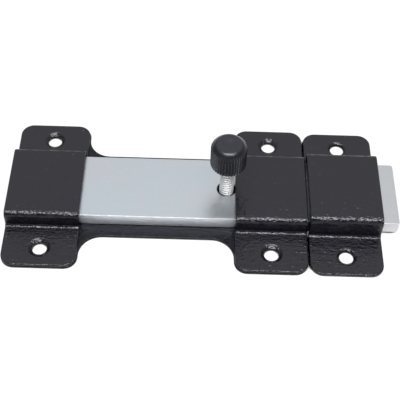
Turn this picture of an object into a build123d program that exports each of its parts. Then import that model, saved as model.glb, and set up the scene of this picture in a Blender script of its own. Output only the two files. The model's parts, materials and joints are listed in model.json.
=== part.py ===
"""Sliding door bolt with a thumb screw: a flat bar thrown into a separate keeper.

Millimetres. +X points along the bolt's throw, +Y across the plate, +Z away from the door.
The origin is the centre of the four base screws, on the underside of the base plate.
The bolt is drawn thrown, its end standing out past the keeper.
"""
import os

from build123d import *

# Bolt bar: flat steel, drilled and tapped for the thumb screw
bar_length = 160.0
bar_width = 32.0
bar_thickness = 6.0
bar_corner_radius = 1.2
bar_edge_break = 0.35
bar_past_keeper = 7.4

# Fits round the bar
bar_under_clearance = 0.15
bar_side_clearance = 1.2
guide_top_clearance = 1.3
keeper_top_clearance = 2.95

# Sheet metal
plate_thickness = 1.2
guide_sheet = 1.2
keeper_sheet = 1.5
inside_bend = 1.4
tab_span = 76.4
tab_corner_radius = 5.5

# Base plate: its waist, the straight left on a tab's side between its corner and the
# waist's fillet, and how far the tabs show past the straps
waist_width = 43.7
tab_side_straight = 1.5
plate_reveal = 0.4

# Straps, measured along the bolt
rear_guide_length = 31.0
front_guide_length = 30.2
keeper_length = 30.4
keeper_gap = 0.7

# Countersunk screw holes
screw_pitch_x = 95.6
screw_pitch_y = 58.5
guide_hole_radius = 3.15
guide_sink_radius = 4.75
keeper_hole_radius = 3.0
keeper_sink_radius = 4.15
sink_angle = 90.0

# Thumb screw: an M6 stud whose hexagon head is moulded into the knob
stud_radius = 3.0
stud_fit = 0.05
stud_length = 20.0
stud_above_bar = 16.95
stud_point_chamfer = 0.6
stud_neck_length = 4.2
stud_hex_flats = 10.0
stud_hex_height = 4.0
stud_to_guide_gap = 0.8
bar_rim_radius = 4.15

# Fluted knob: its ridges run out on a cone under the round shoulder
knob_radius = 7.45
knob_height = 12.25
knob_shoulder_drop = 2.35
knob_runout_width = 0.65
knob_runout_height = 0.75
knob_rim_radius = 4.4
knob_dish_depth = 0.95
knob_foot_chamfer = 0.5
flute_count = 38
flute_width = 1.0
flute_depth = 0.6

# Levels above the door
guide_tab_top = plate_thickness + guide_sheet
bar_bottom = plate_thickness + bar_under_clearance
bar_top = bar_bottom + bar_thickness
guide_crown = bar_top + guide_top_clearance + guide_sheet
keeper_crown = bar_top + keeper_top_clearance + keeper_sheet
knob_foot = bar_top + stud_above_bar
knob_rim = knob_foot + knob_height
stud_tip = knob_foot - stud_length
stud_hex_foot = knob_foot + stud_neck_length

# Places along the bolt
rear_guide_middle = -screw_pitch_x / 2
front_guide_middle = screw_pitch_x / 2
rear_guide_start = rear_guide_middle - rear_guide_length / 2
front_guide_start = front_guide_middle - front_guide_length / 2
front_guide_end = front_guide_start + front_guide_length
keeper_start = front_guide_end + keeper_gap
keeper_middle = keeper_start + keeper_length / 2
bar_end = keeper_start + keeper_length + bar_past_keeper
bar_middle = bar_end - bar_length / 2
knob_x = front_guide_start - stud_to_guide_gap - stud_radius

# Half widths across the bolt
channel_half = bar_width / 2 + bar_side_clearance
tab_half = tab_span / 2
waist_half = waist_width / 2
waist_fillet = tab_half - waist_half - tab_corner_radius - tab_side_straight
screw_y = screw_pitch_y / 2


def fold_strap(start, length, seat, crown, sheet):
    """Fold a hat-section strap in the current part, from its seat up to its crown."""
    wall = channel_half + sheet / 2
    foot = seat + sheet / 2
    roof = crown - sheet / 2
    with BuildSketch(Plane.YZ.offset(start)) as section:
        with BuildLine():
            FilletPolyline(
                (-tab_half, foot),
                (-wall, foot),
                (-wall, roof),
                (wall, roof),
                (wall, foot),
                (tab_half, foot),
                radius=inside_bend + sheet / 2,
            )
        trace(line_width=sheet)
    extrude(section.sketch, amount=length)


def round_tabs(strap):
    """Round the outer corners of a strap's two screw tabs."""
    rows = strap.edges().filter_by(Axis.Z).group_by(Axis.Y)
    fillet(rows[0] + rows[-1], radius=tab_corner_radius)


def sink_screw_holes(middle, top, hole_radius, sink_radius):
    """Cut a strap's two countersunk holes, which lie on a line across the bolt."""
    with Locations((middle, -screw_y, top), (middle, screw_y, top)):
        CounterSinkHole(hole_radius, sink_radius, counter_sink_angle=sink_angle)


os.makedirs("parts", exist_ok=True)

# Base plate: two screw tabs joined by a narrower waist under the bar
with BuildPart() as base_plate:
    with BuildSketch() as plate_outline:
        with Locations((rear_guide_start, 0)):
            Rectangle(rear_guide_length + plate_reveal, tab_span, align=(Align.MIN, Align.CENTER))
            Rectangle(front_guide_end - rear_guide_start, waist_width, align=(Align.MIN, Align.CENTER))
        with Locations((front_guide_end, 0)):
            Rectangle(front_guide_length + plate_reveal, tab_span, align=(Align.MAX, Align.CENTER))
        waist_corners = plate_outline.vertices().filter_by_position(Axis.Y, -waist_half, waist_half)
        fillet(waist_corners, radius=waist_fillet)
        corner_rows = plate_outline.vertices().group_by(Axis.Y)
        fillet(corner_rows[0] + corner_rows[-1], radius=tab_corner_radius)
    extrude(amount=plate_thickness)
    sink_screw_holes(rear_guide_middle, guide_tab_top, guide_hole_radius, guide_sink_radius)
    sink_screw_holes(front_guide_middle, guide_tab_top, guide_hole_radius, guide_sink_radius)
base_plate.part.label = "base_plate"
export_step(base_plate.part, "parts/base_plate.step")

# Rear guide strap, over the bar's tail
with BuildPart() as rear_guide:
    fold_strap(rear_guide_start, rear_guide_length, plate_thickness, guide_crown, guide_sheet)
    round_tabs(rear_guide)
    sink_screw_holes(rear_guide_middle, guide_tab_top, guide_hole_radius, guide_sink_radius)
rear_guide.part.label = "rear_guide"
export_step(rear_guide.part, "parts/rear_guide.step")

# Front guide strap, beside the thumb screw
with BuildPart() as front_guide:
    fold_strap(front_guide_start, front_guide_length, plate_thickness, guide_crown, guide_sheet)
    round_tabs(front_guide)
    sink_screw_holes(front_guide_middle, guide_tab_top, guide_hole_radius, guide_sink_radius)
front_guide.part.label = "front_guide"
export_step(front_guide.part, "parts/front_guide.step")

# Keeper: a taller strap of thicker sheet, straight on the door frame
with BuildPart() as keeper:
    fold_strap(keeper_start, keeper_length, 0, keeper_crown, keeper_sheet)
    round_tabs(keeper)
    sink_screw_holes(keeper_middle, keeper_sheet, keeper_hole_radius, keeper_sink_radius)
keeper.part.label = "keeper"
export_step(keeper.part, "parts/keeper.step")

# Bolt bar, with the tapped and countersunk hole for the thumb screw
with BuildPart() as bolt_bar:
    with BuildSketch(Plane.XY.offset(bar_bottom)):
        with Locations((bar_middle, 0)):
            RectangleRounded(bar_length, bar_width, bar_corner_radius)
    extrude(amount=bar_thickness)
    flats = bolt_bar.faces().filter_by(Axis.Z)
    chamfer(flats.edges(), length=bar_edge_break)
    with Locations((knob_x, 0, bar_top)):
        CounterSinkHole(stud_radius + stud_fit, bar_rim_radius, counter_sink_angle=sink_angle)
bolt_bar.part.label = "bolt_bar"
export_step(bolt_bar.part, "parts/bolt_bar.step")

# Stud: plain shank under its thread, and the hexagon head inside the knob
stud_plane = Plane((knob_x, 0, stud_tip))
hex_plane = Plane((knob_x, 0, stud_hex_foot))
with BuildPart() as knob_stud:
    with BuildSketch(stud_plane):
        Circle(stud_radius)
    extrude(amount=stud_hex_foot - stud_tip)
    chamfer(knob_stud.edges().group_by(Axis.Z)[0], length=stud_point_chamfer)
    with BuildSketch(hex_plane):
        RegularPolygon(stud_hex_flats / 2, 6, major_radius=False)
    extrude(amount=stud_hex_height)
knob_stud.part.label = "knob_stud"
export_step(knob_stud.part, "parts/knob_stud.step")

# Knob: turned form with a dished top, fluted round its side, moulded over the stud
knob_section = Plane((knob_x, 0, 0), x_dir=(1, 0, 0), z_dir=(0, -1, 0))
knob_axis = Axis((knob_x, 0, 0), (0, 0, 1))
ridge_top = knob_rim - knob_shoulder_drop
runout = (-knob_runout_width, knob_runout_height)
shoulder = (knob_radius - knob_runout_width, ridge_top + knob_runout_height)
with BuildPart() as knob_head:
    with BuildSketch(knob_section):
        with BuildLine():
            Polyline(
                (0, knob_rim - knob_dish_depth),
                (0, knob_foot),
                (knob_radius - knob_foot_chamfer, knob_foot),
                (knob_radius, knob_foot + knob_foot_chamfer),
                (knob_radius, ridge_top),
                shoulder,
            )
            Spline(
                shoulder,
                (knob_rim_radius, knob_rim),
                (0, knob_rim - knob_dish_depth),
                tangents=(runout, (-1, 0), (-1, 0)),
            )
        make_face()
    revolve(axis=knob_axis)
    with BuildSketch(Plane((knob_x, 0, knob_foot))):
        with PolarLocations(knob_radius, flute_count):
            Polygon(
                (-flute_depth, 0),
                (flute_depth, -flute_width),
                (flute_depth, flute_width),
                align=None,
            )
    extrude(amount=knob_height, mode=Mode.SUBTRACT)
    with BuildSketch(Plane((knob_x, 0, knob_foot))):
        Circle(stud_radius)
    extrude(amount=stud_neck_length, mode=Mode.SUBTRACT)
    with BuildSketch(hex_plane):
        RegularPolygon(stud_hex_flats / 2, 6, major_radius=False)
    extrude(amount=stud_hex_height, mode=Mode.SUBTRACT)
knob_head.part.label = "knob_head"
export_step(knob_head.part, "parts/knob_head.step")
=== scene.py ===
"""Door bolt dressed for its picture: coated straps and plate, plated bar, thumb screw and plain studio.

Metres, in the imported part's own frame: +X along the bolt's throw, +Z away from the door.
"""
import json
import math

import bmesh
import bpy
import numpy as np
from bpy.props import FloatProperty, FloatVectorProperty, IntProperty, PointerProperty
from mathutils import Matrix, Vector
from mathutils.geometry import delaunay_2d_cdt, interpolate_bezier


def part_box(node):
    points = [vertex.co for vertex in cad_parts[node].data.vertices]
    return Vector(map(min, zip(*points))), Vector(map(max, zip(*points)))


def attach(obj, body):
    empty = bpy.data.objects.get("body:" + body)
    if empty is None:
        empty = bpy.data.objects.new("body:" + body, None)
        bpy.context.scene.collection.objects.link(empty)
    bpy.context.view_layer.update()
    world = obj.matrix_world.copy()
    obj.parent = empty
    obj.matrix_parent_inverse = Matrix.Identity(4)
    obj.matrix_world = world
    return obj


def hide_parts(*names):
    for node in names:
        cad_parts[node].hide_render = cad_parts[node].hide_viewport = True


bl_info = {
    "name": "Door Bolt Dressing",
    "version": (1, 0, 0),
    "blender": (4, 5, 0),
    "location": "3D View > Sidebar > Door Bolt",
    "description": "Builds the coated, plated and moulded pieces of a sliding door bolt round its frame",
    "category": "Object",
}

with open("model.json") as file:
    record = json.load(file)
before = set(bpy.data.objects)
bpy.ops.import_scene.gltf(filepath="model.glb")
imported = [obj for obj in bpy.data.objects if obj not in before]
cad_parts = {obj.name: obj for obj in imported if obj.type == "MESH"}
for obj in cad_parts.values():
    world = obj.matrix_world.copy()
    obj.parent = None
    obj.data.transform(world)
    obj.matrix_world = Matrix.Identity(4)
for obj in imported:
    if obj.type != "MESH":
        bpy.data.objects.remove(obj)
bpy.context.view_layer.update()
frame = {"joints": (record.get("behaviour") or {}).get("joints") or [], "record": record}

MM = 0.001
PHOTO_SIDE = 400
SENSOR_WIDTH = 36.0
QUARTER = math.pi / 2
FULL_TURN = 2 * math.pi
HOLE_POINTS = 48

MOUNTS = {mount["name"]: mount for mount in frame["record"]["mounts"]}
JOINTS = {joint["name"]: joint for joint in frame["joints"]}
SCREW_AXIS = tuple(JOINTS["thumb_screw_turn"]["pos_m"][:2])


def length(name, description, default):
    """A property that holds a length in metres."""
    return FloatProperty(
        name=name, description=description, default=default,
        min=0.0, unit="LENGTH", subtype="DISTANCE", precision=5,
    )


def number(name, description, default):
    """A property that holds a plain number from 0 up."""
    return FloatProperty(name=name, description=description, default=default, min=0.0)


def colour(name, description, default):
    """A property that holds a linear colour."""
    return FloatVectorProperty(
        name=name, description=description, default=default, size=3, min=0.0, max=1.0, subtype="COLOR"
    )


def share(name, description, default):
    """A property that holds a number from 0 to 1."""
    return FloatProperty(
        name=name, description=description, default=default, min=0.0, max=1.0, subtype="FACTOR"
    )


def angle(name, description, default):
    """A property that holds an angle, given in degrees."""
    return FloatProperty(
        name=name, description=description, default=math.radians(default), unit="ROTATION", subtype="ANGLE"
    )


class DoorBoltSheetSizes(bpy.types.PropertyGroup):
    """Sizes of the folded straps and the base plate."""

    guide_sheet: length("Guide sheet", "Thickness of the two guide straps", 1.2 * MM)
    keeper_sheet: length("Keeper sheet", "Thickness of the keeper's strap", 1.5 * MM)
    inside_bend: length("Inside bend", "Inside radius of the straps' folds", 1.4 * MM)
    side_clearance: length("Side clearance", "Room beside the bar under each strap", 1.2 * MM)
    tab_corner: length("Tab corner", "Corner radius of the screw tabs", 5.5 * MM)
    plate_reveal: length("Plate reveal", "How far the plate's tabs show past the guide straps", 0.4 * MM)
    waist_width: length("Waist width", "Width of the base plate between its tabs", 43.7 * MM)
    waist_fillet: length("Waist fillet", "Radius between the plate's waist and its tabs", 9.35 * MM)
    guide_sink: length("Guide sink", "Radius of the guide straps' countersinks at the top", 4.75 * MM)
    keeper_sink: length("Keeper sink", "Radius of the keeper's countersinks at the top", 4.3 * MM)
    edge_round: length("Edge round", "Rounding that the coating leaves on the cut edges", 0.5 * MM)
    sink_round: length("Sink round", "Rounding at the mouth of the screw holes", 1.2 * MM)
    sink_slope: angle("Sink slope", "Slope of the screw holes' countersinks under the coating", 28.0)
    spacing: length("Mesh spacing", "Distance between points on the flats", 1.6 * MM)


class DoorBoltBarSizes(bpy.types.PropertyGroup):
    """Sizes of the bolt bar."""

    corner: length("Bar corner", "Corner radius of the bar's ends, seen from above", 1.2 * MM)
    edge_round: length("Bar edge", "Rounding of the bar's long edges", 0.22 * MM)
    side_crown: length("Side crown", "How far the middle of the bar's rolled sides stands out", 0.1 * MM)
    bore: length("Bore", "Radius of the hole for the stud", 3.05 * MM)
    sink: length("Sink", "Radius of that hole's countersink at the top", 4.15 * MM)
    sink_round: length("Sink round", "Rounding at the mouth of that countersink", 0.15 * MM)
    sink_slope: angle("Sink slope", "Slope of that countersink", 45.0)
    spacing: length("Mesh spacing", "Distance between points on the flats", 2.5 * MM)


class DoorBoltThumbScrewSizes(bpy.types.PropertyGroup):
    """Sizes of the stud and its knob."""

    stud_radius: length("Stud radius", "Radius over the thread", 3.0 * MM)
    pitch: length("Thread pitch", "Distance between two turns of the thread", 1.5 * MM)
    thread_depth: length("Thread depth", "Depth of the thread's groove", 0.5 * MM)
    groove_share: share("Groove share", "Share of the pitch that the groove's root takes", 0.12)
    flank_share: share("Flank share", "Share of the pitch that the groove's two flanks take", 0.66)
    point: length("Point", "Chamfer at the stud's tip", 0.6 * MM)
    neck: length("Neck", "Stud inside the knob, under its hexagon head", 4.2 * MM)
    hex_flats: length("Hexagon", "Distance over the flats of the hidden head", 10.0 * MM)
    knob_radius: length("Knob radius", "Radius over the knob's ridges", 7.45 * MM)
    ridge_drop: length("Ridge drop", "From the knob's rim down to the top of its ridges", 2.35 * MM)
    runout_width: length("Run-out width", "How far the ridges' end cone comes in", 0.65 * MM)
    runout_height: length("Run-out height", "Height of the ridges' end cone", 0.75 * MM)
    rim_radius: length("Rim radius", "Radius of the highest line round the knob", 4.4 * MM)
    dish_depth: length("Dish depth", "Depth of the knob's dished top", 0.95 * MM)
    foot_round: length("Foot round", "Rounding at the knob's foot", 0.5 * MM)
    flute_depth: length("Flute depth", "Depth of the knob's flutes", 0.6 * MM)
    flute_width: length("Flute width", "Width of a flute at its mouth", 1.0 * MM)
    flute_round: length("Flute round", "Rounding at a flute's root", 0.07 * MM)
    ridge_round: length("Ridge round", "Rounding of the ridges between the flutes", 0.05 * MM)
    flutes: IntProperty(name="Flutes", description="Flutes round the knob", default=38, min=3)


class DoorBoltFinishes(bpy.types.PropertyGroup):
    """Colours, grain and roughness of the finishes."""

    coating: colour("Coating", "Darker tone of the powder coating", (0.0022, 0.0022, 0.0050))
    coating_light: colour("Coating, light", "Lighter tone of the powder coating", (0.0042, 0.0042, 0.0080))
    coating_roughness: share("Coating roughness", "Roughness of the powder coating", 0.22)
    coating_index: number("Coating index", "Refractive index of the straps' coating", 1.5)
    plate_index: number("Plate index", "Refractive index of the base plate's duller coating", 1.34)
    grain: length("Coating grain", "Width of the coating's wrinkles", 0.95 * MM)
    grain_relief: length("Coating relief", "Height of the coating's wrinkles", 0.265 * MM)
    zinc_blue: colour("Zinc, blue", "Bluish tone of the plating", (0.508, 0.562, 0.608))
    zinc_pink: colour("Zinc, pink", "Pinkish tone of the plating", (0.534, 0.554, 0.596))
    zinc_green: colour("Zinc, green", "Greenish tone of the plating", (0.518, 0.568, 0.583))
    zinc_grey: colour("Zinc, grey", "Plain tone of the bar's tip", (0.515, 0.530, 0.552))
    zinc_speck: colour("Zinc, specks", "Grey of the fine specks", (0.30, 0.32, 0.35))
    # Painted light: the bar's sides are painted paler than its faces, for the light that they catch; at the
    # tip less so.
    painted_light_side: colour("Zinc, sides", "Paler tone of the bar's sides", (0.92, 0.95, 1.0))
    painted_light_side_tip: colour("Zinc, sides at the tip", "Tone of the sides at the bar's tip", (0.66, 0.66, 0.69))
    # Painted shade: the countersink round the stud is painted dark for the shade that lies in it.
    painted_sink_shade: colour("Zinc, sink", "Dark tone in the countersink round the stud", (0.15, 0.20, 0.24))
    # Painted shade: near black put on the bar where the straps close it in.
    painted_crevice_shade: colour("Crevice", "Near black of the bar where it is closed in", (0.004, 0.004, 0.006))
    tip_start: length("Tip start", "Place along the bolt where the plain tip begins", 70.0 * MM)
    tip_full: length("Tip full", "Place along the bolt from which it is quite plain", 95.0 * MM)
    zinc_roughness: share("Zinc roughness", "Roughness of the bar's plating", 0.33)
    stud_zinc: colour("Stud zinc", "Brighter plating of the stud", (1.0, 1.0, 1.0))
    # Painted shade: the thread's roots are painted darker for the shade that collects in them.
    painted_groove_shade: colour("Stud groove", "Duller plating at the root of the thread", (0.56, 0.57, 0.58))
    plastic: colour("Plastic", "Black of the moulded knob", (0.012, 0.012, 0.018))
    plastic_roughness: share("Plastic roughness", "Roughness of the knob", 0.28)
    plastic_index: number("Plastic index", "Refractive index of the knob's plastic", 1.53)


class DoorBoltStageSettings(bpy.types.PropertyGroup):
    """The photograph's camera, the sky, the lamp and the floor."""

    focal_pixels: FloatProperty(
        name="Focal length", description="Focal length in pixels, for a picture 400 pixels wide",
        default=956.705, min=1.0, subtype="PIXEL",
    )
    elevation: angle("Elevation", "Camera's height above the horizon", 52.04)
    azimuth: angle("Azimuth", "Camera's turn round the part", -0.486)
    roll: angle("Roll", "Camera's roll", 2.002)
    distance: length("Distance", "From the camera to the point that it looks at", 412.998 * MM)
    target: FloatVectorProperty(
        name="Target", description="Point that the camera looks at",
        default=(17.833 * MM, -0.572 * MM, 0.0), size=3, subtype="XYZ", unit="LENGTH",
    )
    sky: number("Sky", "Strength of the even light from all round", 0.2)
    overhead: number("Overhead", "Strength of the sky straight above, as the part mirrors it", 1.2)
    horizon: share("Horizon", "Strength of the low sky, as the part mirrors it", 0.5)
    front: share("Front", "Strength of the room behind the camera, as the part mirrors it", 0.04)
    front_high: share("Front, high", "Strength of the sky over the camera, as the part mirrors it", 0.2)
    front_low: share("Front, low", "Strength of the low sky in front, as the part mirrors it", 0.8)
    beside: share("Beside", "Share of the mirrored sky that is left at the far left and right", 0.3)
    key_power: FloatProperty(
        name="Key power", description="Power of the lamp in front", default=7.2, min=0.0, unit="POWER"
    )
    key_width: length("Key width", "Side of the lamp in front, along the part", 640.0 * MM)
    key_depth: length("Key depth", "Side of the lamp in front, across the part", 260.0 * MM)
    key_elevation: angle("Key elevation", "Height of the lamp in front", 69.5)
    key_offset: length("Key offset", "How far the lamp stands to the right", 40.0 * MM)
    key_distance: length("Key distance", "From the part to the lamp", 800.0 * MM)
    floor_size: length("Floor size", "Side of the floor", 6.0)


def sizes():
    """The scene's property groups, by short names."""
    scene = bpy.context.scene
    return {
        "sheet": scene.door_bolt_sheet,
        "bar": scene.door_bolt_bar,
        "screw": scene.door_bolt_thumb_screw,
        "finish": scene.door_bolt_finishes,
        "stage": scene.door_bolt_stage,
    }


# Plans of flat sheets


def stations(low, high, spacing):
    """Evenly spaced values from low to high, about spacing apart."""
    count = max(1, round((high - low) / spacing))
    return [low + (high - low) * i / count for i in range(count + 1)]


def straight_run(start, end, across, along):
    """Points strictly between start and end, at the stations of the axis that the run follows."""
    axis = 0 if abs(end.x - start.x) > abs(end.y - start.y) else 1
    low, high = sorted((start[axis], end[axis]))
    clear = 0.3 * MM
    values = [v for v in (across, along)[axis] if low + clear < v < high - clear]
    if end[axis] < start[axis]:
        values.reverse()
    return [Vector((v, start.y)) if axis == 0 else Vector((start.x, v)) for v in values]


def rounded_plan(corners, across, along, arc_steps=10):
    """Points round a plan of square turns, whose corners (x, y, radius) run anticlockwise."""
    points = []
    for i, (x, y, radius) in enumerate(corners):
        corner = Vector((x, y))
        before = (corner - Vector(corners[i - 1][:2])).normalized()
        after = (Vector(corners[(i + 1) % len(corners)][:2]) - corner).normalized()
        centre = corner + (after - before) * radius
        turns = [QUARTER * k / arc_steps for k in range(arc_steps + 1)]
        arc = [centre + (before * math.sin(a) - after * math.cos(a)) * radius for a in turns]
        if points:
            points += straight_run(points[-1], arc[0], across, along)
        points += arc
    return points + straight_run(points[-1], points[0], across, along)


def inward_normals(outline):
    """Unit vectors into the plan at each point of its outline."""
    normals = []
    for i, point in enumerate(outline):
        before = (point - outline[i - 1]).normalized()
        after = (outline[(i + 1) % len(outline)] - point).normalized()
        direction = (before + after).normalized()
        normals.append(Vector((-direction.y, direction.x)))
    return normals


def ring(centre, radius, count):
    """Points round a circle in the plan."""
    return [
        centre + Vector((math.cos(FULL_TURN * k / count), math.sin(FULL_TURN * k / count))) * radius
        for k in range(count)
    ]


def room_inside(points, outline):
    """Distance of each point to the outline, negative outside it."""
    spots = np.array([(q.x, q.y) for q in points])[:, None]
    starts = np.array([(q.x, q.y) for q in outline])
    ends = np.roll(starts, -1, axis=0)
    run = ends - starts
    share_along = ((spots - starts) * run).sum(2) / (run * run).sum(1)
    nearest = starts + np.clip(share_along, 0, 1)[..., None] * run
    gap = np.sqrt(((spots - nearest) ** 2).sum(2)).min(1)
    spans = (starts[:, 1] > spots[..., 1]) != (ends[:, 1] > spots[..., 1])
    rise = np.where(run[:, 1] == 0, 1, run[:, 1])
    crossing = starts[:, 0] + (spots[..., 1] - starts[:, 1]) * run[:, 0] / rise
    inside = (spans & (spots[..., 0] < crossing)).sum(1) % 2 == 1
    return np.where(inside, gap, -gap)


def fill_plan(loops, lattice):
    """Triangles between the outer loop, the hole loops and the lattice, as indices in that order."""
    points = [p for loop in loops for p in loop] + lattice
    edges = []
    first = 0
    for loop in loops:
        edges += [(first + i, first + (i + 1) % len(loop)) for i in range(len(loop))]
        first += len(loop)
    inside_only = 1
    merge_gap = 1e-9
    found, _, triangles, sources, _, _ = delaunay_2d_cdt(points, edges, [], inside_only, merge_gap)
    kept = []
    for triangle in triangles:
        middle = sum((found[i] for i in triangle), Vector((0, 0))) / 3
        in_hole = any((middle - hole_middle(loop)).length < hole_reach(loop) for loop in loops[1:])
        if not in_hole:
            kept.append([sources[i][0] for i in triangle])
    return kept


def hole_middle(loop):
    """Middle of a hole's loop."""
    return sum(loop, Vector((0, 0))) / len(loop)


def hole_reach(loop):
    """Radius of a circle that lies just inside a hole's loop."""
    just_inside = 0.999
    return (loop[0] - hole_middle(loop)).length * math.cos(math.pi / len(loop)) * just_inside


# Sections of edges and holes, as (inset or radius, level above the sheet's middle) from the top down


def rounded_rim(thickness, edge_round, steps=4):
    """Inset and level of each row round a sheet's cut edge."""
    half = thickness / 2
    turns = [QUARTER * k / steps for k in range(steps + 1)]
    upper = [(edge_round * (1 - math.sin(a)), half - edge_round * (1 - math.cos(a))) for a in turns]
    return upper + [(inset, -level) for inset, level in reversed(upper)]


def rolled_rim(thickness, edge_round, crown, edge_steps=4, side_steps=6):
    """Inset and level of each row round a rolled bar, whose sides are slightly convex."""
    half = thickness / 2
    side_half = half - edge_round
    side_radius = (side_half**2 + crown**2) / (2 * crown)
    lean = math.asin(side_half / side_radius)
    corner = edge_round / (1 - math.sin(lean))
    upper = []
    for k in range(edge_steps):
        turn = (QUARTER - lean) * k / edge_steps
        inset = crown + edge_round * (1 - math.sin(turn) / math.cos(lean))
        upper.append((inset, half - corner * (1 - math.cos(turn))))
    for k in range(side_steps):
        level = side_half * (1 - k / side_steps)
        upper.append((side_radius - math.sqrt(side_radius**2 - level**2), level))
    return upper + [(0.0, 0.0)] + [(inset, -level) for inset, level in reversed(upper)]


def sunk_wall(top_radius, hole_radius, thickness, mouth_round, slope, steps=5):
    """Radius and level of each row down a countersunk hole with a rounded mouth."""
    half = thickness / 2
    reach = mouth_round * math.tan(slope / 2)
    rows = []
    for k in range(steps + 1):
        turn = slope * k / steps
        radius = top_radius + reach - mouth_round * math.sin(turn)
        rows.append((radius, half - mouth_round * (1 - math.cos(turn))))
    cone_depth = (top_radius - hole_radius) * math.tan(slope)
    rows.append((hole_radius, half - cone_depth))
    rows.append((hole_radius, -half))
    return rows


def join_rows(mesh, rows):
    """Quads between rows of points, each row closed on itself."""
    for upper, lower in zip(rows, rows[1:]):
        count = len(upper)
        for i in range(count):
            j = (i + 1) % count
            mesh.faces.new((upper[i], upper[j], lower[j], lower[i]))


def sheet_mesh(name, outline, lattice, holes, rim, lay):
    """A closed sheet: its plan is filled above and below, its rim and holes are joined, and lay folds it.

    A hole is (centre, rows of radius and level). lay takes a plan point and a level to a point in space.
    """
    mesh = bmesh.new()
    normals = inward_normals(outline)

    def place(points, level):
        return [mesh.verts.new(lay(p.x, p.y, level)) for p in points]

    rim_plans = [[p + n * inset for p, n in zip(outline, normals)] for inset, _ in rim]
    rim_rows = [place(plan, level) for plan, (_, level) in zip(rim_plans, rim)]
    join_rows(mesh, rim_rows)
    hole_plans = [[ring(centre, radius, HOLE_POINTS) for radius, _ in wall] for centre, wall in holes]
    hole_rows = []
    for plans, (_, wall) in zip(hole_plans, holes):
        rows = [place(plan, level) for plan, (_, level) in zip(plans, wall)]
        join_rows(mesh, rows)
        hole_rows.append(rows)
    clear = 0.35 * MM
    room = room_inside(lattice, rim_plans[0])
    lattice = [p for p, r in zip(lattice, room) if r > clear]
    for centre, wall in holes:
        lattice = [p for p in lattice if (p - centre).length > wall[0][0] + clear]
    for side in (0, -1):
        loops = [rim_plans[side]] + [plans[side] for plans in hole_plans]
        corners = rim_rows[side] + [v for rows in hole_rows for v in rows[side]]
        corners = corners + place(lattice, rim[side][1])
        for triangle in fill_plan(loops, lattice):
            mesh.faces.new([corners[i] for i in triangle])
    return finish_mesh(mesh, name)


def finish_mesh(mesh, name):
    """Turn a closed mesh into a smooth object whose flat faces stay flat."""
    bmesh.ops.recalc_face_normals(mesh, faces=mesh.faces)
    data = bpy.data.meshes.new(name)
    mesh.to_mesh(data)
    mesh.free()
    data.shade_smooth()
    piece = bpy.data.objects.new(name, data)
    bpy.context.scene.collection.objects.link(piece)
    flats = piece.modifiers.new("Flat faces lead", "WEIGHTED_NORMAL")
    flats.weight = 80
    return piece


def flat_lay(middle):
    """Lays a sheet flat with its middle at that height."""
    return lambda x, y, level: Vector((x, y, middle + level))


def hat_section(strap, sheet, channel_half, inside_bend):
    """Lengths along half of a strap's middle line: roof, fold, wall, fold and tab, with its levels."""
    low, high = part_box(strap)
    bend = inside_bend + sheet / 2
    wall = channel_half + sheet / 2
    foot = low.z + sheet / 2
    roof = high.z - sheet / 2
    marks = [wall - bend]
    for part in (bend * QUARTER, roof - foot - 2 * bend, bend * QUARTER, high.y - wall - bend):
        marks.append(marks[-1] + part)
    return {"bend": bend, "wall": wall, "foot": foot, "roof": roof, "marks": marks}


def hat_lay(section):
    """Folds a flat strap into the hat section. s runs along its middle line, from the roof's middle."""
    bend, wall, foot, roof = (section[key] for key in ("bend", "wall", "foot", "roof"))
    roof_end, wall_start, wall_end, tab_start, _ = section["marks"]

    def lay(x, s, level):
        side = -1 if s < 0 else 1
        s = abs(s)
        if s <= roof_end:
            y, z, out, up = s, roof, 0, 1
        elif s <= wall_start:
            turn = (s - roof_end) / bend
            y = roof_end + bend * math.sin(turn)
            z = roof - bend * (1 - math.cos(turn))
            out, up = math.sin(turn), math.cos(turn)
        elif s <= wall_end:
            y, z, out, up = wall, roof - bend - (s - wall_start), 1, 0
        elif s <= tab_start:
            turn = (s - wall_end) / bend
            y = wall + bend * (1 - math.cos(turn))
            z = foot + bend * (1 - math.sin(turn))
            out, up = math.cos(turn), math.sin(turn)
        else:
            y, z, out, up = wall + bend + s - tab_start, foot, 0, 1
        return Vector((x, side * (y + out * level), z + up * level))

    return lay


def strap_rows(section, spacing, fold_steps=8):
    """Stations along a strap's middle line: close together in the folds."""
    marks = [0] + section["marks"]
    rows = []
    for i, (low, high) in enumerate(zip(marks, marks[1:])):
        in_fold = i in (1, 3)
        rows += stations(low, high, (high - low) / fold_steps if in_fold else spacing)[:-1]
    rows.append(marks[-1])
    digits = 9
    return sorted({round(-s, digits) for s in rows} | {round(s, digits) for s in rows})


def screw_holes(mount_name):
    """Plan centres and radius of a mount's screw holes."""
    mount = MOUNTS[mount_name]
    middle_x, middle_y = mount["pos_m"][:2]
    half_x = mount["dims"].get("spacing_x_mm", 0) / 2 * MM
    half_y = mount["dims"]["spacing_y_mm"] / 2 * MM
    across = (-half_x, half_x) if half_x else (0,)
    centres = [Vector((middle_x + x, middle_y + y)) for x in across for y in (-half_y, half_y)]
    return centres, mount["dims"]["hole_r_mm"] * MM


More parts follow.
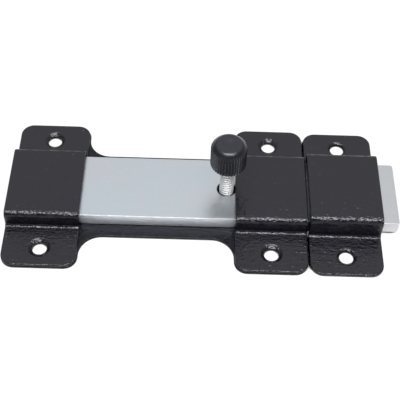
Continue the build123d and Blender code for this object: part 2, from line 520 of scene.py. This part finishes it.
def strap_piece(node, sheet, mount_name, sink_radius):
    """One strap: a flat blank with round corners and sunk holes, folded over the bar."""
    size = sizes()["sheet"]
    finish = sizes()["finish"]
    low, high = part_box(node)
    channel_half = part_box("bolt_bar")[1].y + size.side_clearance
    section = hat_section(node, sheet, channel_half, size.inside_bend)
    reach = section["marks"][-1]
    across = stations(low.x, high.x, size.spacing)
    along = strap_rows(section, size.spacing)
    corner = size.tab_corner
    corners = [
        (low.x, -reach, corner), (high.x, -reach, corner), (high.x, reach, corner), (low.x, reach, corner)
    ]
    outline = rounded_plan(corners, across, along)
    lattice = [Vector((x, s)) for x in across for s in along]
    centres, hole_radius = screw_holes(mount_name)
    stretch = reach - high.y
    wall = sunk_wall(sink_radius, hole_radius, sheet, size.sink_round, size.sink_slope)
    holes = [
        (Vector((c.x, c.y + math.copysign(stretch, c.y))), wall) for c in centres if low.x < c.x < high.x
    ]
    rim = rounded_rim(sheet, size.edge_round)
    piece = sheet_mesh(node + "_coated", outline, lattice, holes, rim, hat_lay(section))
    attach(piece, "mounting")
    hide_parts(node)
    piece.data.materials.append(coating_material("Black coating", finish.coating_index))


# Turned forms


def turned_mesh(name, centre, rings):
    """A closed turned form. Each ring is (radii, levels) for the same directions; end rings are points."""
    mesh = bmesh.new()
    count = max(np.size(radii) for radii, _ in rings)
    directions = FULL_TURN * np.arange(count) / count
    rows = []
    for radii, levels in rings[1:-1]:
        radii = np.broadcast_to(radii, count)
        levels = np.broadcast_to(levels, count)
        x = centre[0] + radii * np.cos(directions)
        y = centre[1] + radii * np.sin(directions)
        rows.append([mesh.verts.new(p) for p in zip(x, y, levels)])
    join_rows(mesh, rows)
    for row, (_, level) in ((rows[0], rings[0]), (rows[-1], rings[-1])):
        tip = mesh.verts.new((centre[0], centre[1], level))
        for i in range(count):
            mesh.faces.new((row[i], row[(i + 1) % count], tip))
    return finish_mesh(mesh, name)


def hexagon_radii(flats, directions):
    """Distance from the middle to a hexagon's side, with a corner in direction 0."""
    return flats / 2 / np.cos(directions % (math.pi / 3) - math.pi / 6)


# Finishes


class Nodes:
    """Adds nodes to the tree of a material or a world, and joins them."""

    def __init__(self, owner, shader="Principled BSDF"):
        owner.use_nodes = True
        self.tree = owner.node_tree
        self.shader = self.tree.nodes[shader]

    def put(self, socket, value):
        """Set a socket, or join it to an output."""
        if isinstance(value, bpy.types.NodeSocket):
            self.tree.links.new(value, socket)
        else:
            socket.default_value = value

    def fill(self, node, sockets):
        """Set or join a node's sockets. A name has _ for each space."""
        for key, value in sockets.items():
            self.put(node.inputs[key.replace("_", " ")], value)

    def surface(self, **sockets):
        """Set or join the main shader's sockets."""
        self.fill(self.shader, sockets)

    def add(self, kind, settings=None, **sockets):
        """A node of that kind. Sockets are numbers, colours or another node's output."""
        node = self.tree.nodes.new(kind)
        for key, value in (settings or {}).items():
            setattr(node, key, value)
        self.fill(node, sockets)
        return node

    def place(self):
        """Coordinates that stay with the piece, in metres."""
        return self.add("ShaderNodeTexCoord").outputs["Object"]

    def drawn_out(self, rate):
        """The same coordinates, slowed to that rate along the bolt, so that grain is longer that way."""
        scale = (rate, 1.0, 1.0)
        return self.add("ShaderNodeMapping", Vector=self.place(), Scale=scale).outputs["Vector"]

    def noise(self, vector, scale, detail=3.0, distortion=0.0):
        """Even noise, from 0 to 1, with about that many grains to the metre."""
        settings = {"Vector": vector, "Scale": scale, "Detail": detail, "Distortion": distortion}
        return self.add("ShaderNodeTexNoise", **settings).outputs["Fac"]

    def spread(self, value, low, high, new_low=0.0, new_high=1.0):
        """Take low and high of a value to new ends, and stay between them."""
        names = ("Value", "From Min", "From Max", "To Min", "To Max")
        node = self.tree.nodes.new("ShaderNodeMapRange")
        for name, entry in zip(names, (value, low, high, new_low, new_high)):
            self.put(node.inputs[name], entry)
        return node.outputs["Result"]

    def blend(self, factor, first, second):
        """Mix two colours."""
        node = self.add("ShaderNodeMix", {"data_type": "RGBA"})
        for index, value in ((0, factor), (6, first), (7, second)):
            if not isinstance(value, (bpy.types.NodeSocket, float)):
                value = (*value, 1.0)
            self.put(node.inputs[index], value)
        return node.outputs[2]

    def calculate(self, operation, *values):
        """Result of a piece of arithmetic on numbers or outputs."""
        node = self.add("ShaderNodeMath", {"operation": operation})
        for socket, value in zip(node.inputs, values):
            self.put(socket, value)
        return node.outputs[0]

    def sum(self, first, second, weight):
        """First plus weight times second."""
        return self.calculate("MULTIPLY_ADD", second, weight, first)

    def openness(self, reach):
        """Share of the directions in which nothing lies within that reach."""
        return self.add("ShaderNodeAmbientOcclusion", Distance=reach).outputs["AO"]

    def relief(self, height, distance, strength=1.0, normal=None):
        """A bump of that height."""
        node = self.add("ShaderNodeBump", Height=height, Distance=distance, Strength=strength)
        if normal is not None:
            self.put(node.inputs["Normal"], normal)
        return node.outputs["Normal"]

    def stud_distance(self):
        """Distance of each point from the axis of the thumb screw."""
        axes = self.add("ShaderNodeSeparateXYZ", Vector=self.place()).outputs
        level = self.add("ShaderNodeCombineXYZ", X=axes["X"], Y=axes["Y"]).outputs[0]
        gap = self.add("ShaderNodeVectorMath", {"operation": "DISTANCE"})
        self.put(gap.inputs[0], level)
        self.put(gap.inputs[1], (*SCREW_AXIS, 0.0))
        return gap.outputs["Value"]


def coating_material(name, index):
    """Black powder coating, finely wrinkled like orange peel. A lower refractive index makes it duller."""
    made = bpy.data.materials.get(name)
    if made:
        return made
    finish = sizes()["finish"]
    material = bpy.data.materials.new(name)
    nodes = Nodes(material)
    grain = finish.grain
    place = nodes.drawn_out(0.65)
    cloud = nodes.noise(place, 0.05 / grain, detail=4.0)
    wrinkle = nodes.noise(place, 1 / grain, detail=1.0, distortion=0.6)
    pebble = nodes.add("ShaderNodeTexVoronoi", {"feature": "SMOOTH_F1"}, Vector=place, Scale=0.8 / grain)
    fine = nodes.noise(place, 3.1 / grain, detail=2.0)
    streak = nodes.noise(nodes.drawn_out(0.18), 0.8 / grain, detail=2.0)
    height = wrinkle
    for layer, weight in ((pebble.outputs["Distance"], -0.3), (fine, 0.04), (streak, 0.55)):
        height = nodes.sum(height, layer, weight)
    tone = nodes.spread(nodes.sum(cloud, fine, 0.4), 0.4, 1.0)
    rough = finish.coating_roughness
    vary = 0.05
    nodes.surface(
        Base_Color=nodes.blend(tone, finish.coating, finish.coating_light),
        Roughness=nodes.spread(wrinkle, 0.3, 0.7, rough + vary, rough - vary),
        Normal=nodes.relief(height, finish.grain_relief),
        IOR=index,
        Specular_Tint=(0.93, 0.93, 1.0, 1.0),
    )
    return material


def zinc_tone(nodes, side, specks):
    """Colour of the bar: faint tints and specks, a plain tip, sides painted paler for the light they catch,
    and painted shade in the countersink and where the bar is closed in.
    """
    finish = sizes()["finish"]
    place = nodes.place()
    tint = nodes.noise(place, 55.0, distortion=0.8)
    patch = nodes.noise(place, 38.0, detail=2.0)
    along = nodes.add("ShaderNodeSeparateXYZ", Vector=place).outputs["X"]
    tip = nodes.spread(along, finish.tip_start, finish.tip_full)
    tone = nodes.blend(nodes.spread(tint, 0.4, 0.65), finish.zinc_blue, finish.zinc_pink)
    tone = nodes.blend(nodes.spread(patch, 0.5, 0.75, 0.0, 0.7), tone, finish.zinc_green)
    tone = nodes.blend(tip, tone, finish.zinc_grey)
    tone = nodes.blend(nodes.spread(specks, 0.60, 0.78, 0.0, 0.25), tone, finish.zinc_speck)
    # Painted light: the sides take a paler colour for the light that falls on them.
    tone = nodes.blend(side, tone, nodes.blend(tip, finish.painted_light_side, finish.painted_light_side_tip))
    sink = sizes()["bar"].sink
    soft = 0.1 * MM
    # Painted shade in the countersink round the stud.
    sunk = nodes.spread(nodes.stud_distance(), sink + soft, sink - soft)
    tone = nodes.blend(sunk, tone, finish.painted_sink_shade)
    # Painted shade: near black where little sky reaches the bar, under and between the straps.
    painted_shade_closed_in = nodes.spread(nodes.openness(6.0 * MM), 0.42, 0.27, 0.0, 0.95)
    return nodes.blend(painted_shade_closed_in, tone, finish.painted_crevice_shade)


def zinc_material():
    """Bright zinc plating on rolled flat bar, rougher on its sides than on its faces."""
    material = bpy.data.materials.new("Zinc plating")
    nodes = Nodes(material)
    place = nodes.place()
    facing = nodes.add("ShaderNodeTexCoord").outputs["Normal"]
    facing = nodes.add("ShaderNodeSeparateXYZ", Vector=facing).outputs["Z"]
    side = nodes.spread(nodes.calculate("ABSOLUTE", facing), 0.95, 0.5)
    specks = nodes.noise(place, 1500.0, detail=2.0)
    coarse = nodes.noise(place, 1100.0, detail=2.0)
    rolled = nodes.noise(nodes.drawn_out(0.45), 1000.0, detail=2.5)
    cloud = nodes.noise(place, 600.0)
    rough = sizes()["finish"].zinc_roughness
    roughness = nodes.spread(cloud, 0.3, 0.7, rough - 0.04, rough + 0.06)
    face_relief = nodes.relief(nodes.sum(coarse, specks, 0.5), 0.04 * MM)
    side_relief = nodes.relief(nodes.calculate("MULTIPLY", rolled, side), 0.2 * MM, normal=face_relief)
    nodes.surface(
        Base_Color=zinc_tone(nodes, side, specks),
        Roughness=nodes.sum(roughness, side, 0.18),
        Normal=side_relief,
        Metallic=1.0,
    )
    return material


def stud_material():
    """Bright zinc on a rolled thread, with painted shade at the root of its grooves."""
    finish = sizes()["finish"]
    radius = sizes()["screw"].stud_radius
    material = bpy.data.materials.new("Bright zinc thread")
    nodes = Nodes(material)
    place = nodes.place()
    cloud = nodes.noise(place, 700.0)
    tone = nodes.blend(nodes.spread(cloud, 0.5, 1.1), finish.stud_zinc, finish.zinc_pink)
    # Painted shade: darker colour at the roots of the thread, by distance from the axis.
    crest = nodes.spread(nodes.stud_distance(), radius - 0.35 * MM, radius - 0.1 * MM)
    fine = nodes.noise(place, 2600.0, detail=2.0)
    nodes.surface(
        Base_Color=nodes.blend(crest, finish.painted_groove_shade, tone),
        Roughness=nodes.spread(cloud, 0.3, 0.7, 0.42, 0.50),
        Normal=nodes.relief(fine, 0.01 * MM, 0.4),
        Metallic=0.5,
    )
    return material


def plastic_material():
    """Moulded black plastic with a faint spark-eroded grain."""
    finish = sizes()["finish"]
    material = bpy.data.materials.new("Black plastic")
    nodes = Nodes(material)
    place = nodes.place()
    cloud = nodes.noise(place, 330.0)
    dark = tuple(c * 0.7 for c in finish.plastic)
    rough = finish.plastic_roughness
    grain = nodes.noise(place, 2400.0, detail=2.0)
    nodes.surface(
        Base_Color=nodes.blend(nodes.spread(cloud, 0.3, 0.7), dark, finish.plastic),
        Roughness=nodes.spread(cloud, 0.3, 0.7, rough - 0.04, rough + 0.06),
        Normal=nodes.relief(grain, 0.015 * MM, 0.6),
        IOR=finish.plastic_index,
        Specular_Tint=(0.90, 0.91, 1.0, 1.0),
    )
    return material


def floor_material():
    """White paper, seen at full white apart from a painted contact shadow where the part lies close over it.
    """
    material = bpy.data.materials.new("White paper")
    nodes = Nodes(material)
    fibre = nodes.noise(nodes.place(), 180.0, detail=5.0)
    paper = nodes.blend(nodes.spread(fibre, 0.3, 0.7), (0.60, 0.60, 0.60), (0.64, 0.64, 0.64))
    lit = nodes.add("ShaderNodeBsdfDiffuse", Color=paper)
    # Painted shadow: the floor's glow and faint light fade out where the part lies close over it, by an
    # occlusion mask.
    open_floor = nodes.spread(nodes.openness(3.0 * MM), 0.40, 0.52)
    shade = nodes.blend(open_floor, (0.0, 0.0, 0.0), (0.22, 0.22, 0.22))
    faint = nodes.add("ShaderNodeBsdfDiffuse", Color=shade)
    glow = nodes.add("ShaderNodeEmission", Strength=nodes.spread(open_floor, 0.0, 1.0, 0.0, 0.84))
    seen = nodes.add("ShaderNodeAddShader")
    nodes.put(seen.inputs[0], faint.outputs[0])
    nodes.put(seen.inputs[1], glow.outputs[0])
    path = nodes.add("ShaderNodeLightPath").outputs
    seen_directly = nodes.sum(path["Is Camera Ray"], path["Is Glossy Ray"], 1.0)
    seen_directly = nodes.sum(seen_directly, path["Is Transmission Ray"], 1.0)
    both = nodes.add("ShaderNodeMixShader")
    nodes.put(both.inputs[0], nodes.spread(seen_directly, 0.0, 1.0))
    nodes.put(both.inputs[1], lit.outputs[0])
    nodes.put(both.inputs[2], seen.outputs[0])
    nodes.put(nodes.tree.nodes["Material Output"].inputs["Surface"], both.outputs[0])
    nodes.tree.nodes.remove(nodes.shader)
    return material


# Where the mirrored sky's bands fade into each other, as parts of a unit vector

OVERHEAD_FADE = (0.80, 0.97)
HORIZON_FADE = (0.05, 0.70)
FRONT_HIGH_FADE = (0.65, 0.80)
FRONT_LOW_FADE = (0.25, 0.45)
FRONT_FADE = (0.1, -0.6)
BESIDE_FADE = (0.62, 0.9)


# Operators, one for each piece or group of like pieces


class DOORBOLT_OT_base_plate(bpy.types.Operator):
    """Build the coated base plate with its waist and four countersunk holes"""

    bl_idname = "door_bolt.base_plate"
    bl_label = "Base Plate"

    def execute(self, context):
        size = sizes()["sheet"]
        finish = sizes()["finish"]
        low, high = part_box("base_plate")
        rear_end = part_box("rear_guide")[1].x + size.plate_reveal
        front_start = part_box("front_guide")[0].x - size.plate_reveal
        waist = size.waist_width / 2
        tab = size.tab_corner
        fillet = size.waist_fillet
        corners = [
            (low.x, low.y, tab), (rear_end, low.y, tab), (rear_end, -waist, fillet),
            (front_start, -waist, fillet), (front_start, low.y, tab), (high.x, low.y, tab),
            (high.x, high.y, tab), (front_start, high.y, tab), (front_start, waist, fillet),
            (rear_end, waist, fillet), (rear_end, high.y, tab), (low.x, high.y, tab),
        ]
        across = stations(low.x, high.x, size.spacing)
        along = stations(low.y, high.y, size.spacing)
        outline = rounded_plan(corners, across, along)
        lattice = [Vector((x, y)) for x in across for y in along]
        thickness = high.z - low.z
        centres, hole_radius = screw_holes("base_screws")
        wall = [(hole_radius, thickness / 2), (hole_radius, -thickness / 2)]
        holes = [(centre, wall) for centre in centres]
        rim = rounded_rim(thickness, size.edge_round)
        lay = flat_lay(low.z + thickness / 2)
        piece = sheet_mesh("base_plate_coated", outline, lattice, holes, rim, lay)
        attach(piece, "mounting")
        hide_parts("base_plate")
        piece.data.materials.append(coating_material("Dull black coating", finish.plate_index))
        return {"FINISHED"}


class DOORBOLT_OT_straps(bpy.types.Operator):
    """Fold the two guide straps and the taller keeper over the bar"""

    bl_idname = "door_bolt.straps"
    bl_label = "Guide Straps and Keeper"

    def execute(self, context):
        size = sizes()["sheet"]
        for node in ("rear_guide", "front_guide"):
            strap_piece(node, size.guide_sheet, "base_screws", size.guide_sink)
        strap_piece("keeper", size.keeper_sheet, "keeper_screws", size.keeper_sink)
        return {"FINISHED"}


class DOORBOLT_OT_bar(bpy.types.Operator):
    """Build the plated bolt bar with rounded edges and the countersunk hole for the stud"""

    bl_idname = "door_bolt.bar"
    bl_label = "Bolt Bar"

    def execute(self, context):
        size = sizes()["bar"]
        low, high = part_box("bolt_bar")
        corner = size.corner
        corners = [
            (low.x, low.y, corner), (high.x, low.y, corner), (high.x, high.y, corner), (low.x, high.y, corner)
        ]
        across = stations(low.x, high.x, size.spacing)
        along = stations(low.y, high.y, size.spacing)
        outline = rounded_plan(corners, across, along, arc_steps=6)
        lattice = [Vector((x, y)) for x in across for y in along]
        thickness = high.z - low.z
        wall = sunk_wall(size.sink, size.bore, thickness, size.sink_round, size.sink_slope)
        holes = [(Vector(SCREW_AXIS), wall)]
        rim = rolled_rim(thickness, size.edge_round, size.side_crown)
        lay = flat_lay(low.z + thickness / 2)
        piece = sheet_mesh("bolt_bar_plated", outline, lattice, holes, rim, lay)
        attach(piece, "bolt")
        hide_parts("bolt_bar")
        piece.data.materials.append(zinc_material())
        return {"FINISHED"}


class DOORBOLT_OT_stud(bpy.types.Operator):
    """Cut the stud's thread and put its hexagon head on"""

    bl_idname = "door_bolt.stud"
    bl_label = "Threaded Stud"

    def execute(self, context):
        size = sizes()["screw"]
        low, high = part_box("knob_stud")
        knob_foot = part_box("knob_head")[0].z
        columns = 72
        rows_a_turn = 12
        directions = FULL_TURN * np.arange(columns) / columns
        radius = size.stud_radius
        root = radius - size.thread_depth
        rings = [(0.0, low.z), (root - size.point / 2, low.z)]
        thread_start = low.z + 0.02 * MM
        thread_end = knob_foot + size.pitch
        for level in stations(thread_start, thread_end, size.pitch / rows_a_turn):
            turn = (level - low.z) / size.pitch - directions / FULL_TURN
            from_root = np.abs((turn % 1.0) * 2 - 1)
            rise = np.clip((from_root - size.groove_share) / size.flank_share, 0, 1)
            thread = root + size.thread_depth * rise * rise * (3 - 2 * rise)
            chamfer = radius - size.point + (level - low.z)
            rings.append((np.minimum(thread, chamfer), level))
        hex_foot = knob_foot + size.neck
        hexagon = hexagon_radii(size.hex_flats, directions)
        neck = radius - 0.05 * MM
        neck_start = thread_end + 0.2 * MM
        rings += [(neck, neck_start), (neck, hex_foot), (hexagon, hex_foot)]
        rings += [(hexagon, high.z), (0.0, high.z)]
        piece = turned_mesh("knob_stud_threaded", SCREW_AXIS, rings)
        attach(piece, "thumb_screw")
        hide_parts("knob_stud")
        piece.data.materials.append(stud_material())
        return {"FINISHED"}


class DOORBOLT_OT_knob(bpy.types.Operator):
    """Mould the fluted knob with its round shoulder and dished top"""

    bl_idname = "door_bolt.knob"
    bl_label = "Fluted Knob"

    def execute(self, context):
        size = sizes()["screw"]
        low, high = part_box("knob_head")
        columns_a_flute = 12
        columns = size.flutes * columns_a_flute
        directions = FULL_TURN * np.arange(columns) / columns
        groove = self.groove_radii(size, directions)
        bore = size.stud_radius
        hex_foot = low.z + size.neck
        hex_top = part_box("knob_stud")[1].z
        hexagon = hexagon_radii(size.hex_flats, directions)
        rings = [(0.0, hex_top), (hexagon, hex_top), (hexagon, hex_foot), (bore, hex_foot), (bore, low.z)]
        for radius, level in self.profile(size, low.z, high.z):
            rings.append((self.soft_least(radius, groove, size.ridge_round), level))
        rings.append((0.0, high.z - size.dish_depth))
        piece = turned_mesh("knob_head_moulded", SCREW_AXIS, rings)
        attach(piece, "thumb_screw")
        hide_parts("knob_head")
        piece.data.materials.append(plastic_material())
        return {"FINISHED"}

    @staticmethod
    def groove_radii(size, directions):
        """Radius to which the flutes cut in each direction: V grooves with a rounded root."""
        pitch = FULL_TURN / size.flutes
        across = np.abs((directions + pitch / 2) % pitch - pitch / 2) * size.knob_radius
        slope = size.flute_depth / (size.flute_width / 2)
        root = size.knob_radius - size.flute_depth
        return root + np.sqrt((slope * across) ** 2 + size.flute_round**2) - size.flute_round

    @staticmethod
    def soft_least(radius, groove, ridge_round):
        """The smaller of the two radii, with the ridge between them rounded off."""
        limit = 60
        excess = np.clip((radius - groove) / ridge_round, -limit, limit)
        return radius - ridge_round * np.log1p(np.exp(excess))

    @staticmethod
    def profile(size, foot, rim):
        """Radius and level from the underside, round the foot, up the side and over the rim to the dish."""
        outer = size.knob_radius
        foot_round = size.foot_round
        foot_steps = 6
        cone_steps = 5
        curve_points = 19
        foot_gap = 0.8 * MM
        side_gap = 0.9 * MM
        bore_mouth = size.stud_radius + 0.3 * MM
        rows = [(radius, foot) for radius in stations(bore_mouth, outer - foot_round, foot_gap)[:-1]]
        for k in range(foot_steps + 1):
            turn = QUARTER * k / foot_steps
            radius = outer - foot_round * (1 - math.sin(turn))
            rows.append((radius, foot + foot_round * (1 - math.cos(turn))))
        ridge_top = rim - size.ridge_drop
        rows += [(outer, level) for level in stations(foot + foot_round, ridge_top, side_gap)[1:]]
        runout = Vector((-size.runout_width, size.runout_height))
        ridge_end = Vector((outer, ridge_top))
        rows += [tuple(ridge_end + runout * k / cone_steps) for k in range(1, cone_steps)]
        inward = Vector((-1, 0))
        marks = [ridge_end + runout, Vector((size.rim_radius, rim)), Vector((0, rim - size.dish_depth))]
        ways = [runout.normalized(), inward, inward]
        for start, end, leave, reach in zip(marks, marks[1:], ways, ways[1:]):
            third = (end - start).length / 3
            curve = interpolate_bezier(
                start, start + leave * third, end - reach * third, end, curve_points
            )
            rows += [tuple(p) for p in curve[:-1]]
        return rows


class DOORBOLT_OT_stage(bpy.types.Operator):
    """Set up the white paper floor, the sky, the lamp and the camera"""

    bl_idname = "door_bolt.stage"
    bl_label = "Stage"

    def execute(self, context):
        self.make_floor()
        self.make_sky()
        self.make_key()
        self.make_camera()
        context.scene.view_settings.view_transform = "Standard"
        return {"FINISHED"}

    @staticmethod
    def make_floor():
        """Lay a sheet of paper just under the part."""
        half = sizes()["stage"].floor_size / 2
        level = -0.02 * MM
        mesh = bmesh.new()
        edge = stations(-half, half, half / 4)
        rows = [[mesh.verts.new((x, y, level)) for x in edge] for y in edge]
        for near, far in zip(rows, rows[1:]):
            for i in range(len(edge) - 1):
                mesh.faces.new((near[i], near[i + 1], far[i + 1], far[i]))
        data = bpy.data.meshes.new("paper_floor")
        mesh.to_mesh(data)
        mesh.free()
        data.materials.append(floor_material())
        floor = bpy.data.objects.new("paper_floor", data)
        bpy.context.scene.collection.objects.link(floor)

    @staticmethod
    def make_sky():
        """Light the part evenly, and give it a sky with darker parts in front and beside to mirror."""
        stage = sizes()["stage"]
        world = bpy.data.worlds.new("Studio sky")
        bpy.context.scene.world = world
        nodes = Nodes(world, "Background")
        way = nodes.add("ShaderNodeTexCoord").outputs["Generated"]
        way = nodes.add("ShaderNodeSeparateXYZ", Vector=way).outputs
        above = nodes.spread(way["Z"], *OVERHEAD_FADE, 1.0, stage.overhead)
        above = nodes.spread(way["Z"], *HORIZON_FADE, stage.horizon, above)
        room = nodes.spread(way["Z"], *FRONT_HIGH_FADE, stage.front, stage.front_high)
        room = nodes.spread(way["Z"], *FRONT_LOW_FADE, stage.front_low, room)
        front = nodes.spread(way["Y"], *FRONT_FADE)
        mirrored = nodes.spread(front, 0.0, 1.0, above, room)
        beside = nodes.spread(nodes.calculate("ABSOLUTE", way["X"]), *BESIDE_FADE, 1.0, stage.beside)
        dimmed = nodes.calculate("MULTIPLY", mirrored, beside)
        path = nodes.add("ShaderNodeLightPath").outputs
        mirror_ray = nodes.calculate("MAXIMUM", path["Is Glossy Ray"], path["Is Transmission Ray"])
        level = nodes.spread(mirror_ray, 0.0, 1.0, stage.sky, dimmed)
        level = nodes.spread(path["Is Camera Ray"], 0.0, 1.0, level, 1.0)
        nodes.surface(Color=(1.0, 1.0, 1.0, 1.0), Strength=level)

    @staticmethod
    def make_key():
        """Hang the large soft lamp in front of the part, facing it."""
        stage = sizes()["stage"]
        data = bpy.data.lights.new("Key softbox", "AREA")
        data.shape = "RECTANGLE"
        data.size = stage.key_width
        data.size_y = stage.key_depth
        data.energy = stage.key_power
        lamp = bpy.data.objects.new("Key softbox", data)
        back = Vector((0, -math.cos(stage.key_elevation), math.sin(stage.key_elevation)))
        lamp.location = Vector(stage.target) + back * stage.key_distance + Vector((stage.key_offset, 0, 0))
        lamp.rotation_mode = "QUATERNION"
        lamp.rotation_quaternion = back.to_track_quat("Z", "Y")
        bpy.context.scene.collection.objects.link(lamp)

    @staticmethod
    def make_camera():
        """Stand the camera where the photograph was taken from."""
        stage = sizes()["stage"]
        azimuth = stage.azimuth
        level = Vector((math.cos(azimuth), math.sin(azimuth), 0))
        ahead = Vector((-math.sin(azimuth), math.cos(azimuth), 0))
        forward = ahead * math.cos(stage.elevation) - Vector((0, 0, math.sin(stage.elevation)))
        upright = level.cross(forward)
        right = level * math.cos(stage.roll) + upright * math.sin(stage.roll)
        up = upright * math.cos(stage.roll) - level * math.sin(stage.roll)
        data = bpy.data.cameras.new("Photograph camera")
        data.sensor_width = SENSOR_WIDTH
        data.lens = stage.focal_pixels * SENSOR_WIDTH / PHOTO_SIDE
        data.clip_start = 0.01
        data.clip_end = 20.0
        camera = bpy.data.objects.new("Photograph camera", data)
        turn = Matrix((right, up, -forward)).transposed().to_4x4()
        place = Vector(stage.target) - forward * stage.distance
        camera.matrix_world = Matrix.Translation(place) @ turn
        bpy.context.scene.collection.objects.link(camera)
        bpy.context.scene.camera = camera


class DOORBOLT_PT_sidebar(bpy.types.Panel):
    """Lists the sizes, the finishes and the operators"""

    bl_label = "Door Bolt"
    bl_idname = "DOORBOLT_PT_sidebar"
    bl_space_type = "VIEW_3D"
    bl_region_type = "UI"
    bl_category = "Door Bolt"

    def draw(self, context):
        for operator in OPERATORS:
            self.layout.operator(operator.bl_idname)
        for group in sizes().values():
            box = self.layout.box()
            for name in group.bl_rna.properties.keys():
                if name not in ("rna_type", "name"):
                    box.prop(group, name)


GROUPS = {
    "door_bolt_sheet": DoorBoltSheetSizes,
    "door_bolt_bar": DoorBoltBarSizes,
    "door_bolt_thumb_screw": DoorBoltThumbScrewSizes,
    "door_bolt_finishes": DoorBoltFinishes,
    "door_bolt_stage": DoorBoltStageSettings,
}
OPERATORS = (
    DOORBOLT_OT_base_plate,
    DOORBOLT_OT_straps,
    DOORBOLT_OT_bar,
    DOORBOLT_OT_stud,
    DOORBOLT_OT_knob,
    DOORBOLT_OT_stage,
)


def register():
    """Register the groups, operators and panel."""
    for name, group in GROUPS.items():
        bpy.utils.register_class(group)
        setattr(bpy.types.Scene, name, PointerProperty(type=group))
    for cls in (*OPERATORS, DOORBOLT_PT_sidebar):
        bpy.utils.register_class(cls)


def unregister():
    """Take them all out again."""
    for cls in (DOORBOLT_PT_sidebar, *reversed(OPERATORS)):
        bpy.utils.unregister_class(cls)
    for name, group in reversed(GROUPS.items()):
        delattr(bpy.types.Scene, name)
        bpy.utils.unregister_class(group)


def main():
    """Build every piece and the stage."""
    register()
    bpy.ops.door_bolt.base_plate()
    bpy.ops.door_bolt.straps()
    bpy.ops.door_bolt.bar()
    bpy.ops.door_bolt.stud()
    bpy.ops.door_bolt.knob()
    bpy.ops.door_bolt.stage()


if __name__ == "__main__":
    main()
